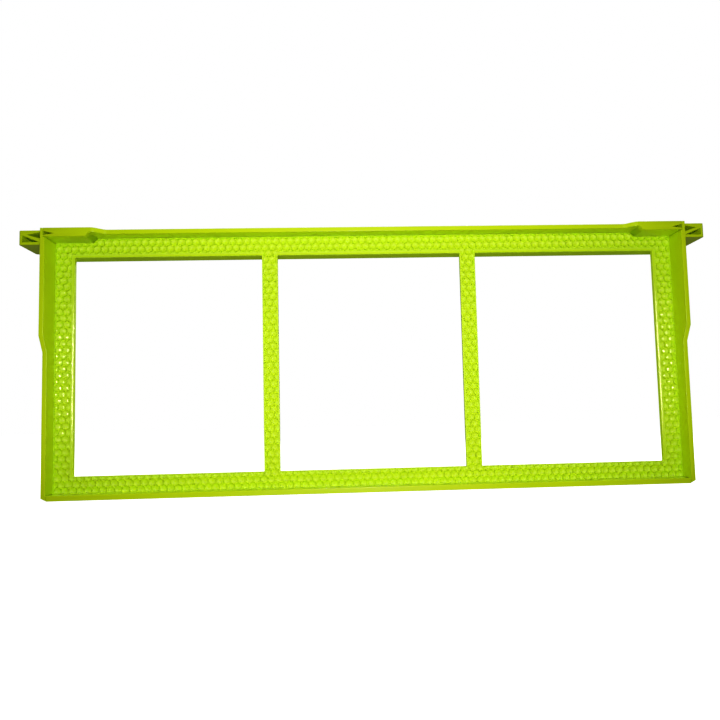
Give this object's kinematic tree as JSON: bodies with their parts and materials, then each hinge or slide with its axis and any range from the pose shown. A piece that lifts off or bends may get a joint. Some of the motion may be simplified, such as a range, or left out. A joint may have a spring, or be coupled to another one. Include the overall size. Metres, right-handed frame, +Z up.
{
  "type": "beehive frame",
  "caption": "Hanging beehive frame with end lugs, shouldered end bars, a bottom bar and a comb panel pierced by open windows for bees to fill.",
  "frame": {"origin": "middle of the bottom bar's underside, which is the bottom centre of the bounding box", "axes": "+X along the bars towards the right-hand lug, +Y from the front face to the rear face, +Z up towards the top bar"},
  "size_m": [0.482, 0.035, 0.185],
  "materials": {
    "frame_plastic": "smooth moulded lime-green plastic",
    "comb_plastic": "moulded lime-green plastic, embossed with a worker-cell pattern"
  },
  "bodies": {
    "root": {"top_bar": "frame_plastic", "end_bar_left": "frame_plastic", "end_bar_right": "frame_plastic", "bottom_bar": "frame_plastic", "comb_panel": "comb_plastic"}
  },
  "joints": []
}
